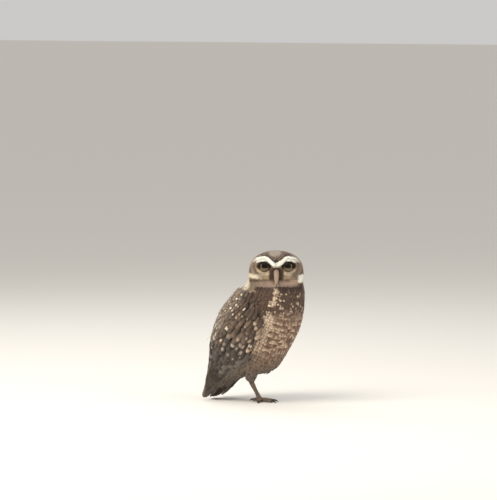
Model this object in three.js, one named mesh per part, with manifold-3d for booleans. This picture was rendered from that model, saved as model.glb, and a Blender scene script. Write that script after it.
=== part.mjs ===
// A burrowing owl at life size, resting on its right leg. The left foot is drawn up into the belly feathers, and the
// head is turned to look over the right shoulder. The bird faces -Y, its right side is -X, and +Z is up. Millimetres.
import * as THREE from "three";
import Module from "manifold-3d";
import { mergeVertices } from "three/addons/utils/BufferGeometryUtils.js";

const wasm = await Module();
wasm.setup();

// Pose and clearances
const HEAD_TURN = -55; // degrees about the upright axis, towards the right shoulder
const TOUCH_GAP = 0.3; // between pieces that lie against each other
const VANE_THICK = 0.7;
const SMOOTHING = 0.15; // faces flatter than this are merged into fewer
const COAT_SMOOTHING = 0.22; // the same for the large feathered pieces

// The body from inside the head to the tail tip, as tilted oval sections along its centreline.
// tilt is the section's lean in degrees; wide is half the width; fore and aft are its reach to breast and back.
const SECTIONS = [
  { y: -25, z: 178, tilt: 0, wide: 30, fore: 30, aft: 30 },
  { y: -23, z: 161, tilt: 3, wide: 35, fore: 38, aft: 43 },
  { y: -13, z: 143, tilt: 14, wide: 40, fore: 50, aft: 44 },
  { y: -1, z: 122, tilt: 24, wide: 44, fore: 57, aft: 44 },
  { y: 13, z: 101, tilt: 32, wide: 44, fore: 58, aft: 46 },
  { y: 28, z: 80, tilt: 38, wide: 42, fore: 57.5, aft: 43 },
  { y: 42, z: 62, tilt: 38, wide: 37, fore: 40.5, aft: 35 },
  { y: 54, z: 45, tilt: 36, wide: 30, fore: 22, aft: 23 },
  { y: 66, z: 28, tilt: 34, wide: 25, fore: 11, aft: 12 },
  { y: 76, z: 14, tilt: 33, wide: 22, fore: 6, aft: 6 },
  { y: 85, z: 3, tilt: 33, wide: 20, fore: 3, aft: 3 },
];
const SECTION_POWER = 0.88; // under 1 gives the ovals fuller corners
const NECK_LEVEL = 157.5; // the height where the head sits on the neck
const NECK_END = 0.165; // shares of the way down the centreline
const TORSO_END = 0.72;

const rad = THREE.MathUtils.degToRad;
const lerp = THREE.MathUtils.lerp;
const ramp = THREE.MathUtils.smoothstep;
const vec = (x, y, z) => new THREE.Vector3(x, y, z);

// Solids

// A manifold-3d solid of a closed geometry, with its faces turned to point out.
function solidOf(geometry) {
  const bare = new THREE.BufferGeometry();
  bare.setAttribute("position", geometry.getAttribute("position"));
  bare.setIndex(geometry.index);
  const merged = mergeVertices(bare, 1e-4);
  const p = merged.getAttribute("position").array;
  const faces = [];
  let volume = 0;
  const at = (k) => vec(p[3 * k], p[3 * k + 1], p[3 * k + 2]);
  for (let i = 0; i < merged.index.count; i += 3) {
    const [a, b, c] = [0, 1, 2].map((k) => merged.index.getX(i + k));
    if (a === b || b === c || a === c) continue;
    volume += at(a).dot(at(b).cross(at(c)));
    faces.push(a, b, c);
  }
  if (volume < 0) faces.reverse();
  return new wasm.Manifold(
    new wasm.Mesh({ numProp: 3, vertProperties: new Float32Array(p), triVerts: new Uint32Array(faces) }),
  );
}

// The three.js geometry of a solid.
function geometryOf(solid) {
  const mesh = solid.getMesh();
  const points = new Float32Array(mesh.numVert * 3);
  for (let i = 0; i < mesh.numVert; i++) {
    points.set(mesh.vertProperties.subarray(i * mesh.numProp, i * mesh.numProp + 3), i * 3);
  }
  const geometry = new THREE.BufferGeometry();
  geometry.setAttribute("position", new THREE.BufferAttribute(points, 3));
  geometry.setIndex(new THREE.BufferAttribute(mesh.triVerts, 1));
  return geometry;
}

const joined = (solids) => wasm.Manifold.union(solids);

// The largest closed surface of a solid: a seal-off inside or a scrap outside is dropped.
function largest(solid) {
  return solid.decompose().sort((a, b) => b.volume() - a.volume())[0];
}

// A closed body drawn over a sphere's grid: place(turn, row) gives the point for a share of a turn on a row.
// Row 0 and the last row are single points.
function shaped(sides, rows, place) {
  const sphere = new THREE.SphereGeometry(1, sides, rows);
  const p = sphere.getAttribute("position");
  for (let row = 0, k = 0; row <= rows; row++) {
    for (let side = 0; side <= sides; side++, k++) {
      const pole = row === 0 || row === rows;
      const q = place(pole ? 0 : (side % sides) / sides, row);
      p.setXYZ(k, q.x, q.y, q.z);
    }
  }
  return solidOf(sphere);
}

// A tube with flat ends along a curve. radii(along) gives [across, through]; across is the direction of its width.
function tube(curve, sides, steps, radii, across) {
  return shaped(sides, steps + 2, (turn, row) => {
    const along = THREE.MathUtils.clamp((row - 1) / steps, 0, 1);
    const centre = curve.getPoint(along);
    if (row === 0 || row === steps + 2) return centre;
    const ahead = curve.getTangent(along);
    const through = ahead.clone().cross(across).normalize();
    const flat = through.clone().cross(ahead).normalize();
    const [a, b] = radii(along);
    const t = turn * 2 * Math.PI;
    return centre.addScaledVector(flat, a * Math.cos(t)).addScaledVector(through, b * Math.sin(t));
  });
}

// An oval body at a centre, with three radii.
function oval(centre, radii, sides = 20, rows = 12) {
  const sphere = new THREE.SphereGeometry(1, sides, rows);
  sphere.scale(radii.x, radii.y, radii.z);
  sphere.translate(centre.x, centre.y, centre.z);
  return solidOf(sphere);
}

// A thin closed sheet: outer(i, j) and inner(i, j) give the points of its faces on one grid, split alike.
function sheet(across, steps, outer, inner) {
  const grid = new THREE.PlaneGeometry(1, 1, across, steps);
  const row = across + 1;
  const count = row * (steps + 1);
  const points = new Float32Array(count * 6);
  for (let i = 0, k = 0; i <= steps; i++) {
    for (let j = 0; j <= across; j++, k++) {
      outer(i / steps, j / across).toArray(points, 3 * k);
      inner(i / steps, j / across).toArray(points, 3 * (k + count));
    }
  }
  const face = [...grid.index.array];
  const back = face.map((k) => k + count).reverse();
  const rim = [];
  for (let j = 0; j < across; j++) rim.push([j + 1, j], [steps * row + j, steps * row + j + 1]);
  for (let i = 0; i < steps; i++) rim.push([i * row, (i + 1) * row], [(i + 1) * row + across, i * row + across]);
  const walls = rim.flatMap(([a, b]) => [a, b + count, b, a, a + count, b + count]);
  const geometry = new THREE.BufferGeometry();
  geometry.setAttribute("position", new THREE.BufferAttribute(points, 3));
  geometry.setIndex([...face, ...back, ...walls]);
  return solidOf(geometry);
}

// Body form

const centreline = new THREE.CatmullRomCurve3(SECTIONS.map((s) => vec(s.tilt, s.y, s.z)));
const girth = new THREE.CatmullRomCurve3(SECTIONS.map((s) => vec(s.wide, s.fore, s.aft)));

// The centre of a section and its direction towards the breast.
function sectionAt(down) {
  const { x: tilt, y, z } = centreline.getPoint(down);
  return { centre: vec(0, y, z), breast: vec(0, -Math.cos(rad(tilt)), -Math.sin(rad(tilt))) };
}

// A point of the body's surface: round is 0 at the breast, 90 on the left side, -90 on the right and 180 on the back.
function bodyPoint(round, down, grow = 0) {
  const { centre, breast } = sectionAt(down);
  const { x: wide, y: fore, z: aft } = girth.getPoint(down);
  const c = Math.cos(rad(round));
  const s = Math.sin(rad(round));
  const depth = (c > 0 ? fore : aft) + grow;
  return centre
    .addScaledVector(breast, Math.sign(c) * Math.abs(c) ** SECTION_POWER * depth)
    .add(vec(Math.sign(s) * Math.abs(s) ** SECTION_POWER * (wide + grow), 0, 0));
}

// The surface's place, outward normal and direction across towards the back, at a point of the body.
function bodyFrame(round, down, grow) {
  const step = 0.004;
  const last = Math.min(down + step, 1);
  const along = bodyPoint(round, last, grow).sub(bodyPoint(round, last - 2 * step, grow)).normalize();
  const across = bodyPoint(round + 1, down, grow).sub(bodyPoint(round - 1, down, grow)).normalize();
  const normal = across.clone().cross(along).normalize();
  const place = bodyPoint(round, down, grow);
  if (normal.dot(place.clone().sub(sectionAt(down).centre)) < 0) normal.negate();
  const backwards = round > 0 ? -1 : 1;
  return { place, normal, across: along.clone().cross(normal).multiplyScalar(backwards) };
}

// The body between two shares of its length.
function bodySolid(from, to, grow, sides, steps) {
  return shaped(sides, steps + 2, (turn, row) => {
    const down = lerp(from, to, THREE.MathUtils.clamp((row - 1) / steps, 0, 1));
    if (row === 0 || row === steps + 2) return sectionAt(down).centre;
    return bodyPoint(turn * 360, down, grow);
  });
}

// A feather vane. path(s) gives {place, normal, across} from root to tip; lift(s) its height over that place.
// Its width swells from the quill and rounds off at the tip, and shingle raises one edge over the next vane.
function vane({ path, lift, half, thick = VANE_THICK, shingle = 0, steps = 4, crown = 0.35, tip = 0.45 }) {
  const point = (s, x, depth) => {
    const { place, normal, across } = path(s);
    const round = Math.sqrt(Math.max(0, 1 - ramp(s, 1 - tip, 1.02) ** 2));
    const width = half * lerp(0.35, 1, ramp(s, 0, 0.5)) * lerp(0.3, 1, round);
    const free = Math.min(1, 3 * s);
    const height = lift(s) + free * (crown * (1 - x * x) + shingle * x) - depth;
    return place.addScaledVector(across, x * width).addScaledVector(normal, height);
  };
  return sheet(
    2,
    steps,
    (s, j) => point(s, 2 * j - 1, 0),
    (s, j) => point(s, 2 * j - 1, thick),
  );
}

// Torso and neck

const neckGap = TOUCH_GAP / 150; // the gap as a share of the centreline's length
const torsoWhole = bodySolid(NECK_END, TORSO_END, 0, 30, 12);
const torsoSleeve = bodySolid(NECK_END - 0.05, TORSO_END + neckGap, TOUCH_GAP, 30, 14);
const neck = bodySolid(0.05, NECK_END - neckGap, 0, 32, 6).trimByPlane([0, 0, -1], -NECK_LEVEL);
const neckSleeve = bodySolid(0.05, NECK_END + 0.02, TOUCH_GAP, 32, 7);

// Head, modelled facing -Y about its own centre and then turned

const HEAD_CENTRE = vec(-4.3, -26.3, 181.5);
const HEAD = { wide: 37, up: 27, down: 33, face: 29, nape: 36, cheek: 2 };
const EYE = { apart: 15.6, up: 7, back: -20.4, radius: 7.6, splay: 8 };
const LID = { inner: 7.9, outer: 8.8, opening: 6.7, rim: 0.9, slope: rad(16), droop: 3.6 };
const BROW = { dip: 8, peak: 16.8, peakAt: 15, endAt: 30, end: 13.5, height: 2.1, spread: 4.4 };
const BILL = { top: -0.5, tip: -15.8, half: 3.8, reach: 7.5 };

// Height of the brow's crest above the head's centre, at a distance from the mid line.
function browHeight(x) {
  const rise = lerp(BROW.dip, BROW.peak, ramp(x, 0, BROW.peakAt));
  return rise - (BROW.peak - BROW.end) * ramp(x, BROW.peakAt, BROW.endAt);
}

const bump = (distance, spread) => Math.exp(-((distance / spread) ** 2));

// How far the face's relief stands forward of the plain oval.
function faceRelief(x, z) {
  const side = Math.abs(x);
  const fromEye = Math.hypot(side - EYE.apart, z - EYE.up);
  const dish = -3.2 * bump(fromEye, 9.5);
  const discRim = 1.1 * bump(fromEye - 18.5, 3);
  const brow = BROW.height * bump(z - browHeight(side), BROW.spread) * (1 - ramp(side, 27, 34));
  const bridge = 1.4 * bump(side, 5) * bump(z - 5, 8);
  const muzzle = 1.8 * bump(side, 9) * bump(z - BILL.top + 12, 7);
  return dish + discRim + brow + bridge + muzzle;
}

function headPoint(turn, lift) {
  const dir = vec(Math.cos(turn) * Math.cos(lift), Math.sin(turn) * Math.cos(lift), Math.sin(lift));
  const soft = (v, power) => Math.sign(v) * Math.abs(v) ** power;
  const full = dir.z < 0 ? soft(Math.cos(lift), 0.5) / Math.cos(lift) : 1;
  const z = (dir.z > 0 ? HEAD.up : HEAD.down) * soft(dir.z, 0.92);
  const x = (HEAD.wide + HEAD.cheek * bump(z + 13, 10)) * soft(dir.x, 0.95) * full;
  const y = (dir.y < 0 ? HEAD.face * soft(dir.y, 0.72) : HEAD.nape * dir.y) * full;
  return vec(x, y - faceRelief(x, z) * ramp(-dir.y, 0.05, 0.55), z);
}

// Meridians crowd towards the face, where the relief is.
const HEAD_ROWS = 23;
const headCore = shaped(34, HEAD_ROWS, (turn, row) => {
  const fromFace = 2 * Math.PI * (turn - 0.5);
  const crowded = fromFace * lerp(0.6, 1, (fromFace / Math.PI) ** 2);
  return headPoint(crowded - Math.PI / 2, Math.PI * (0.5 - row / HEAD_ROWS));
});

function eyeFrame(side) {
  const yaw = rad(side * EYE.splay);
  return { centre: vec(side * EYE.apart, EYE.back, EYE.up), gaze: vec(Math.sin(yaw), -Math.cos(yaw), 0) };
}

const eyeBall = (side, radius, sides, rows) => {
  const { centre } = eyeFrame(side);
  return oval(centre, vec(radius, radius, radius), sides, rows);
};

// The lids: a round rim on the ball, and an upper lid that hangs lower towards the bill.
function lids(side) {
  const { centre, gaze } = eyeFrame(side);
  const setBack = Math.sqrt(LID.inner ** 2 - LID.opening ** 2);
  const rim = new THREE.TorusGeometry(LID.opening, LID.rim, 5, 18);
  rim.applyQuaternion(new THREE.Quaternion().setFromUnitVectors(vec(0, 0, 1), gaze));
  rim.translate(...centre.clone().addScaledVector(gaze, setBack + 0.1));
  const shell = eyeBall(side, LID.outer, 18, 10);
  const up = vec(-side * Math.sin(LID.slope), 0, Math.cos(LID.slope));
  const upper = shell.trimByPlane(up.toArray(), up.dot(centre) + LID.droop);
  return joined([solidOf(rim), upper]);
}

// The bill: grow widens it for the seat that is cut in the head.
const upperBillPath = new THREE.QuadraticBezierCurve3(
  vec(0, -26.5, BILL.top),
  vec(0, -27 - BILL.reach * 1.5, BILL.top - 4),
  vec(0, -27 - BILL.reach, BILL.tip),
);
const lowerBillPath = new THREE.QuadraticBezierCurve3(vec(0, -23, -8.5), vec(0, -29.5, -10.5), vec(0, -30.6, -13.8));
const SIDEWAYS = vec(1, 0, 0);

function upperBill(grow) {
  const taper = (s) => Math.sqrt(1 - Math.min(s, 0.985) ** 2);
  return tube(
    upperBillPath,
    14,
    10,
    (s) => [BILL.half * lerp(0.12, 1, taper(s)) + grow, 4.4 * lerp(0.1, 1, taper(s)) + grow],
    SIDEWAYS,
  );
}

function lowerBill(grow) {
  return tube(lowerBillPath, 12, 6, (s) => [lerp(3.1, 1.4, s) + grow, lerp(2.4, 0.7, s * s) + grow], SIDEWAYS);
}

function nostrils() {
  return [-1, 1].map((side) => oval(vec(side * 3.1, -32.4, BILL.top - 4), vec(1.1, 1.3, 0.8), 8, 6));
}

const billUpperNeutral = upperBill(0).subtract(joined(nostrils())).subtract(lowerBill(TOUCH_GAP));
const billLowerNeutral = lowerBill(0);

// The nape's slope: the neck's own form carried up into the head, in the head's frame.
const nape = bodySolid(0, NECK_END, 0, 32, 6)
  .translate([-HEAD_CENTRE.x, -HEAD_CENTRE.y, -HEAD_CENTRE.z])
  .rotate([0, 0, -HEAD_TURN]);

function headSolid() {
  const seat = NECK_LEVEL + TOUCH_GAP - HEAD_CENTRE.z;
  const whole = joined([joined([headCore, nape]).trimByPlane([0, 0, 1], seat), lids(-1), lids(1)]);
  const sockets = joined([eyeBall(-1, LID.inner, 18, 10), eyeBall(1, LID.inner, 18, 10)]);
  return whole.subtract(sockets).subtract(upperBill(TOUCH_GAP)).subtract(lowerBill(TOUCH_GAP));
}

// Turns a solid of the head from its own frame to its place on the body.
function onNeck(solid) {
  return solid.rotate([0, 0, HEAD_TURN]).translate([HEAD_CENTRE.x, HEAD_CENTRE.y, HEAD_CENTRE.z]);
}

// Legs

const ANKLE = vec(-10.4, 10.6, 28);
const STANCE = vec(1.5, 4.5, 3.6);
const TARSUS = { top: 3.6, middle: 2.7, foot: 3.1 };

const rightThighCurve = new THREE.QuadraticBezierCurve3(vec(-17, 2, 58), vec(-16, 9, 44), ANKLE);
const rightThighRadii = (grow) => (s) => {
  const taper = s ** 0.7;
  const rounding = Math.sin(Math.min(1, 0.2 + 4 * s) * (Math.PI / 2)) * (1 - 0.5 * ramp(s, 0.93, 1));
  return [lerp(15, 5.2, taper) * rounding + grow, lerp(18, 5.6, taper) * rounding + grow];
};
const rightThigh = (grow) => tube(rightThighCurve, 16, 10, rightThighRadii(grow), SIDEWAYS);

const tarsusCurve = new THREE.LineCurve3(
  ANKLE.clone().addScaledVector(STANCE.clone().sub(ANKLE).normalize(), TOUCH_GAP),
  STANCE,
);
const tarsusRadius = (s) => lerp(lerp(TARSUS.top, TARSUS.middle, ramp(s, 0, 0.5)), TARSUS.foot, ramp(s, 0.6, 1));
const rightTarsus = (grow) => tube(tarsusCurve, 12, 5, (s) => [tarsusRadius(s) + grow, tarsusRadius(s) + grow], SIDEWAYS);

const LEFT_FOOT = vec(12.5, 4.5, 47);
const leftThigh = (grow) => oval(vec(19, 12, 58), vec(17 + grow, 24 + grow, 17.5 + grow), 16, 10);
const leftTarsusCurve = new THREE.QuadraticBezierCurve3(vec(17, 31, 44), vec(15, 21, 40.5), vec(13, 10, 45.5));
const leftTarsus = (grow) => tube(leftTarsusCurve, 12, 5, () => [2.9 + grow, 2.9 + grow], SIDEWAYS);

// Toes: heading in degrees from straight ahead, positive to the bird's left; length to the claw; claw's own length.
const TOES = [
  { name: "inner", heading: 30, length: 17, claw: 9.5 },
  { name: "middle", heading: -6, length: 21, claw: 9.5 },
  { name: "outer", heading: -62, length: 17, claw: 8.5 },
  { name: "hind", heading: 172, length: 11.5, claw: 8.5 },
];
const TOE_RADIUS = 2.7;
const SOLE_CUT = 0.35; // how much of each round pad is flattened by the ground

function toeCurve({ heading, length }) {
  const go = vec(Math.sin(rad(heading)), -Math.cos(rad(heading)), 0);
  const level = TOE_RADIUS - SOLE_CUT;
  const root = vec(STANCE.x, STANCE.y, level + 0.9);
  return {
    go,
    curve: new THREE.QuadraticBezierCurve3(
      root,
      root.clone().addScaledVector(go, length * 0.5).setZ(level + 1.3),
      root.clone().addScaledVector(go, length).setZ(level - 0.25),
    ),
  };
}

const toeRadius = (s) => TOE_RADIUS * (0.94 + 0.1 * Math.cos(s * 4 * Math.PI)) * lerp(1.1, 0.86, s);

function toe(spec) {
  const { curve, go } = toeCurve(spec);
  const across = vec(-go.y, go.x, 0);
  return tube(curve, 9, 5, (s) => [toeRadius(s), toeRadius(s)], across);
}

// A claw: a hooked cone that starts a touch in front of the toe's flat end. from, go and down set its hook.
function claw(from, go, down, length) {
  const start = from.clone().addScaledVector(go, TOUCH_GAP);
  const hook = new THREE.QuadraticBezierCurve3(
    start,
    start.clone().addScaledVector(go, length * 0.62).addScaledVector(down, -0.4),
    start.clone().addScaledVector(go, length * 0.86).addScaledVector(down, length * 0.3),
  );
  return tube(hook, 8, 6, (s) => [lerp(1.35, 0.25, s), lerp(1.7, 0.25, s)], go.clone().cross(down).normalize());
}

const DOWN = vec(0, 0, -1);

function rightClaw(spec) {
  const { curve, go } = toeCurve(spec);
  const end = curve.getPoint(1);
  const hook = claw(end.clone().setZ(end.z + 0.35), go, DOWN, spec.claw);
  return hook.trimByPlane([0, 0, 1], 0);
}

function rightFootSolid() {
  const palm = oval(vec(STANCE.x, STANCE.y, 3.2), vec(5.2, 5.4, 3.6), 12, 6);
  const tops = TOES.map((spec) => {
    const { curve, go } = toeCurve(spec);
    const end = curve.getPoint(1);
    return toe(spec).trimByPlane(go.clone().negate().toArray(), -go.dot(end));
  });
  return joined([palm, ...tops]).trimByPlane([0, 0, 1], 0).subtract(rightTarsus(TOUCH_GAP));
}

// The drawn-up foot: three toes folded forward over the palm and one behind, as a loose fist.
const FIST = [
  { name: "inner", x: -4.2, length: 10, claw: 6.5 },
  { name: "middle", x: 0, length: 11, claw: 6.5 },
  { name: "outer", x: 4.2, length: 10, claw: 6 },
];

function fistCurve({ x, length }) {
  const root = LEFT_FOOT.clone().add(vec(x * 0.6, 1, 0.5));
  return new THREE.QuadraticBezierCurve3(
    root,
    root.clone().add(vec(x * 0.5, -length * 0.8, 0)),
    root.clone().add(vec(x * 0.6, -length * 0.66, -length * 0.5)),
  );
}

const fistToe = (spec) => tube(fistCurve(spec), 8, 4, () => [2.1, 2.1], SIDEWAYS);

const leftPalm = (grow) => oval(LEFT_FOOT, vec(6 + grow, 6 + grow, 4.4 + grow), 12, 6);
const leftFoot = joined([leftPalm(0), ...FIST.map(fistToe)]);

function leftClaw(spec) {
  const curve = fistCurve(spec);
  const go = curve.getTangent(1);
  const back = vec(0, 1, 0.1).addScaledVector(go, -vec(0, 1, 0.1).dot(go)).normalize();
  return claw(curve.getPoint(1), go, back, spec.claw);
}

// The hollow among the belly feathers that the fist is drawn up into.
const fistHollow = oval(LEFT_FOOT.clone().add(vec(0, -3.5, -2.5)), vec(9.2, 11.5, 8.6), 14, 8);

// Tail: twelve feathers fanned a little, the middle pair on top, under and over short coverts

const TAIL = { root: 0.62, half: 7, spread: 2.6, layer: 0.98 };

function tailPath(side, order) {
  return (s) => {
    const down = lerp(TAIL.root, 1 - 0.004 * order * order, s);
    const { centre, breast } = sectionAt(down);
    const out = lerp(0.8 + order, 1.6 + TAIL.spread * order, s);
    const place = centre.add(vec(side * out, 0, 0)).addScaledVector(breast, 0.9 + TAIL.layer * order);
    return { place, normal: breast.clone().negate(), across: vec(side, 0, 0) };
  };
}

function tailVanes() {
  const vanes = [];
  for (const side of [-1, 1]) {
    for (let order = 0; order < 6; order++) {
      vanes.push(
        vane({ path: tailPath(side, order), lift: () => 0, half: TAIL.half, steps: 3, shingle: -0.4, crown: 0.1, tip: 0.3 }),
      );
    }
  }
  return vanes;
}

// Coverts below and above the tail's root, along the body's surface.
function tailCoverts(round, from, to, rows) {
  const vanes = [];
  for (let k = 0; k < rows; k++) {
    const turn = round + (k - (rows - 1) / 2) * (round === 0 ? 26 : 22);
    const end = to - 0.02 * Math.abs(k - (rows - 1) / 2);
    vanes.push(
      vane({
        path: (s) => bodyFrame(turn, lerp(from, end, s), -1),
        lift: (s) => lerp(-1.5, 0.4, s),
        half: 7.5,
        thick: 1.6,
        steps: 3,
      }),
    );
  }
  return vanes;
}

const tailCore = bodySolid(TAIL.root, 0.84, -2.4, 16, 4);

function tailSolid() {
  const coverts = [...tailCoverts(0, 0.66, 0.88, 4), ...tailCoverts(180, 0.66, 0.82, 3)];
  return joined([tailCore, ...tailVanes(), ...coverts]);
}

// The room that the tail keeps clear of the wings.
const tailRoom = shaped(20, 14, (turn, row) => {
  const along = THREE.MathUtils.clamp((row - 1) / 12, 0, 1);
  const down = lerp(TAIL.root, 1, along);
  const { centre, breast } = sectionAt(down);
  if (row === 0) return centre;
  if (row === 14) return centre.addScaledVector(vec(0, 0.59, -0.81), 3);
  const t = turn * 2 * Math.PI;
  const soft = (v) => Math.sign(v) * Math.abs(v) ** 0.6;
  const { x: wide, y: fore } = girth.getPoint(down);
  const top = lerp(0.5, 0.4, along);
  const bottom = Math.max(fore - 0.6, 5.6);
  return centre
    .add(vec(soft(Math.cos(t)) * (Math.min(wide, 22.5) + 0.6), 0, 0))
    .addScaledVector(breast, (bottom - top) / 2 + (soft(Math.sin(t)) * (bottom + top)) / 2);
});

// Wings: a shell over the side of the body that carries tiers of coverts and the flight feathers

const WING = { front: 62, back: 176, top: 0.166, end: 0.7, thick: 2.7, edge: 1.5, inside: 0.9 };

// The wing shell's edges round the body, at a share of its length.
function wingEdges(s) {
  const shoulder = 1 - ramp(s, 0, 0.32);
  const narrow = ramp(s, 0.55, 1);
  return {
    front: WING.front + 36 * shoulder ** 2 + 14 * narrow,
    back: WING.back - 36 * shoulder ** 1.5 - 6 * narrow,
  };
}

function wingShellTop(s, j) {
  const edge = Math.min(1, 3.2 * Math.min(j, 1 - j), 5 * Math.min(s + 0.06, 1.06 - s));
  return lerp(WING.edge, WING.thick, Math.sin((edge * Math.PI) / 2));
}

function wingShell(side) {
  const at = (s, j, grow) => {
    const { front, back } = wingEdges(s);
    return bodyPoint(side * lerp(front, back, j), lerp(WING.top, WING.end, s), grow);
  };
  return sheet(
    8,
    8,
    (s, j) => at(s, j, wingShellTop(s, j)),
    (s, j) => at(s, j, WING.inside),
  );
}

// Tiers of the wing, top to bottom: shares of the shell's length for roots and tips, and feathers in the row.
const TIERS = [
  { name: "lesser", root: 0.1, tip: 0.4, count: 3, half: 13 },
  { name: "median", root: 0.36, tip: 0.62, count: 4, half: 13 },
  { name: "greater", root: 0.6, tip: 0.84, count: 5, half: 11.5 },
];

function covertTier(side, { root, tip, count, half }, tier) {
  const vanes = [];
  for (let k = 0; k < count; k++) {
    const j = (k + (tier % 2 ? 0.5 : 0.72)) / (count + 0.2);
    const path = (s) => {
      const share = lerp(root, tip, s);
      const { front, back } = wingEdges(Math.min(share, 1));
      return bodyFrame(side * lerp(front, back, j), lerp(WING.top, WING.end, share), WING.thick);
    };
    vanes.push(
      vane({ path, lift: (s) => lerp(-0.8, 1.5, Math.min(1, 3 * s)), half, shingle: -0.9, crown: 0.8, steps: 3 }),
    );
  }
  return vanes;
}

// Secondaries cover the wing's lower half; primaries run on past them to the wing tip.
const SECONDARIES = { count: 5, root: 0.6, tip: 0.81, half: 11 };
const PRIMARIES = { count: 5, root: 0.6, tip: 0.985, step: 0.036, half: 7.5 };

function secondaries(side) {
  const vanes = [];
  for (let k = 0; k < SECONDARIES.count; k++) {
    const j = k / (SECONDARIES.count - 1);
    const tip = SECONDARIES.tip - 0.05 * j;
    const path = (s) => {
      const round = lerp(lerp(84, 164, j), lerp(84, 154, j), s);
      return bodyFrame(side * round, lerp(SECONDARIES.root, tip, s), 2);
    };
    vanes.push(
      vane({ path, lift: (s) => lerp(-0.4, 0.5, s), half: SECONDARIES.half, shingle: -0.95, steps: 3, crown: 0.8 }),
    );
  }
  return vanes;
}

function primaries(side) {
  const vanes = [];
  for (let k = 0; k < PRIMARIES.count; k++) {
    const tip = PRIMARIES.tip - PRIMARIES.step * k;
    const path = (s) => {
      const round = lerp(73 + 5 * k, 80 + 9 * k, s);
      return bodyFrame(side * round, lerp(PRIMARIES.root, tip, s), 1.6);
    };
    vanes.push(
      vane({
        path,
        lift: (s) => lerp(0.42 * k, 0.4 + 0.56 * k, s),
        half: PRIMARIES.half,
        steps: 4,
        shingle: -0.8,
        crown: 0.5,
        tip: 0.3,
      }),
    );
  }
  return vanes;
}

function wingSolid(side) {
  const tiers = TIERS.flatMap((tier, n) => covertTier(side, tier, n));
  const whole = joined([wingShell(side), ...tiers, ...secondaries(side), ...primaries(side)]);
  const clear = whole.subtract(tailRoom).subtract(neckSleeve).subtract(torsoSleeve);
  return largest(clear.trimByPlane([side, 0, 0], 0.35));
}

// Nodes

const COLOURS = {
  brown: { color: 0x5c4a3a, roughness: 0.9 },
  darkBrown: { color: 0x4a3b30, roughness: 0.9 },
  buff: { color: 0xbfa888, roughness: 0.95 },
  leg: { color: 0x8d7d66, roughness: 0.85 },
  horn: { color: 0xa29676, roughness: 0.45 },
  clawBlack: { color: 0x2b2522, roughness: 0.4 },
  iris: { color: 0xd9c23a, roughness: 0.1 },
};
const materials = Object.fromEntries(
  Object.entries(COLOURS).map(([name, look]) => [name, new THREE.MeshStandardMaterial({ ...look, metalness: 0 })]),
);

const owl = new THREE.Group();
owl.name = "burrowing_owl";

function addNode(name, solid, look, smoothing = SMOOTHING) {
  const mesh = new THREE.Mesh(geometryOf(largest(solid.simplify(smoothing))), materials[look]);
  mesh.name = name;
  owl.add(mesh);
}

const legSeats = joined([
  rightThigh(TOUCH_GAP),
  leftThigh(TOUCH_GAP),
  leftTarsus(TOUCH_GAP),
  fistHollow,
]);
const tail = largest(tailSolid().subtract(torsoSleeve));
const rightWing = wingSolid(-1);

addNode("head", onNeck(headSolid()), "brown");
addNode("bill_upper", onNeck(billUpperNeutral), "horn");
addNode("bill_lower", onNeck(billLowerNeutral), "horn");
addNode("eye_right", onNeck(eyeBall(-1, EYE.radius, 18, 10)), "iris");
addNode("eye_left", onNeck(eyeBall(1, EYE.radius, 18, 10)), "iris");
addNode("neck", neck, "buff");
addNode("torso", torsoWhole.subtract(legSeats), "buff");
addNode("wing_right", rightWing, "brown", COAT_SMOOTHING);
addNode("wing_left", rightWing.mirror([1, 0, 0]), "brown", COAT_SMOOTHING);
addNode("tail", tail, "darkBrown");

const leftLegRoom = joined([leftTarsus(TOUCH_GAP), fistHollow]);
addNode("thigh_right", rightThigh(0).subtract(leftThigh(TOUCH_GAP)), "buff");
addNode("thigh_left", leftThigh(0).subtract(leftLegRoom), "buff");
addNode("tarsus_right", rightTarsus(0).subtract(rightThigh(TOUCH_GAP)), "leg");
addNode("tarsus_left", leftTarsus(0).subtract(leftPalm(TOUCH_GAP)), "leg");
addNode("foot_right", rightFootSolid(), "leg");
addNode("foot_left", leftFoot, "leg");
for (const spec of TOES) addNode(`claw_right_${spec.name}`, rightClaw(spec), "clawBlack");
for (const spec of FIST) addNode(`claw_left_${spec.name}`, leftClaw(spec), "clawBlack");

// The origin is the middle of the whole bird's outline, on the ground.
const outline = new THREE.Box3().setFromObject(owl);
const middle = outline.getCenter(vec(0, 0, 0));
owl.position.set(-middle.x, -middle.y, 0);

export default owl;
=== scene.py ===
import math

import bpy
import numpy as np
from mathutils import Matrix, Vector
from mathutils.bvhtree import BVHTree


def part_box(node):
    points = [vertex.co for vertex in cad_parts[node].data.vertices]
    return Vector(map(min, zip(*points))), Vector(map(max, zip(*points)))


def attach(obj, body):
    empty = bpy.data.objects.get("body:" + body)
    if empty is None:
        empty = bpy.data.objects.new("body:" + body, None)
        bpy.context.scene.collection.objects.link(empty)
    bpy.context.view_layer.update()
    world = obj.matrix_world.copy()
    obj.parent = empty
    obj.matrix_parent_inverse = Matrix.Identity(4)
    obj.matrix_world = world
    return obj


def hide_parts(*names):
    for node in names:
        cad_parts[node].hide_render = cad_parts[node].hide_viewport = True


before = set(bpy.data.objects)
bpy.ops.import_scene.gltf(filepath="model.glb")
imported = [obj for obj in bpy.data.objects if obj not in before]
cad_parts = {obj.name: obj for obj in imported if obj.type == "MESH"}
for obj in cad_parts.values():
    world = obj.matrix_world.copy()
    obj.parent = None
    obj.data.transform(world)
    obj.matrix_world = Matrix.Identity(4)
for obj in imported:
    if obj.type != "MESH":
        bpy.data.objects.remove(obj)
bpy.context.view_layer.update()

# Camera and studio
# The owl stands on a pale matt floor in soft light from the upper left, seen from its right front, near eye
# height. Lengths are millimetres from the owl's own origin on the floor, which is found from the two eyes.

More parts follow.
